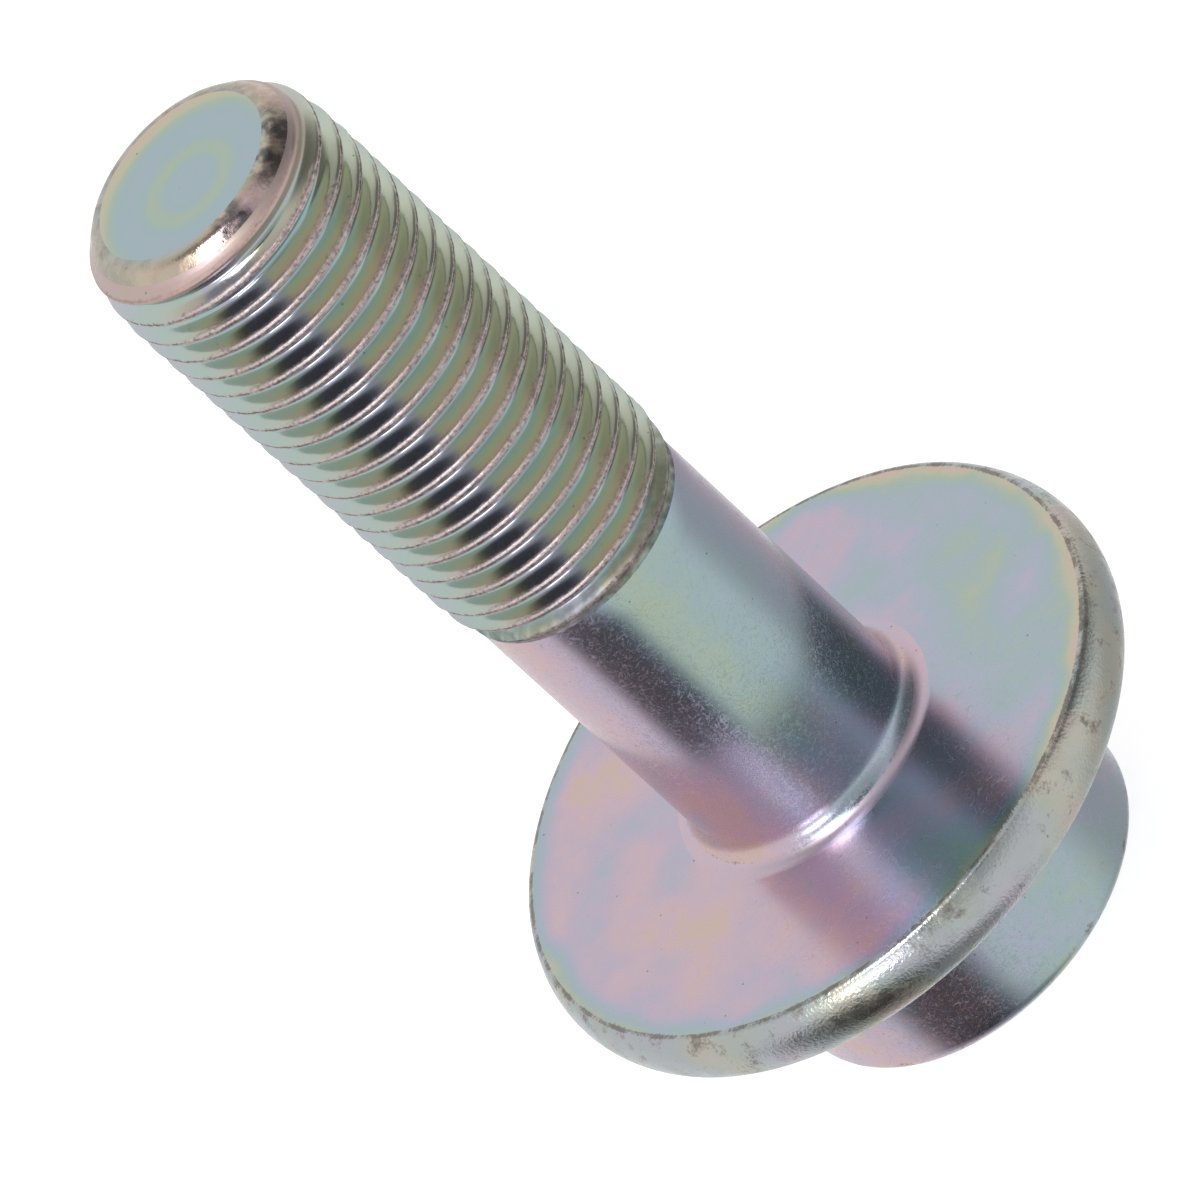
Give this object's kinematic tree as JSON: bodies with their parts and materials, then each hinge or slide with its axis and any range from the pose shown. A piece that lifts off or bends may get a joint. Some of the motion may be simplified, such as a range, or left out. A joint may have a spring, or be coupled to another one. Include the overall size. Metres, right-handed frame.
{
  "type": "flanged bolt",
  "caption": "Flanged bolt with a round head, hexagon socket drive, plain shank and fine rolled thread, for clamping a sprocket to a camshaft.",
  "frame": {"origin": "centre of the bearing face under the flange", "axes": "+Z along the bolt's axis, from the bearing face towards the tip, so the head lies below the origin; a flat of the hexagon socket faces +Y"},
  "size_m": [0.0305, 0.0304, 0.0548],
  "materials": {
    "plated_steel": "zinc plated and passivated, satin with a pale pink, lilac and blue-green iridescence"
  },
  "bodies": {
    "root": {"bolt": "plated_steel"}
  },
  "joints": []
}
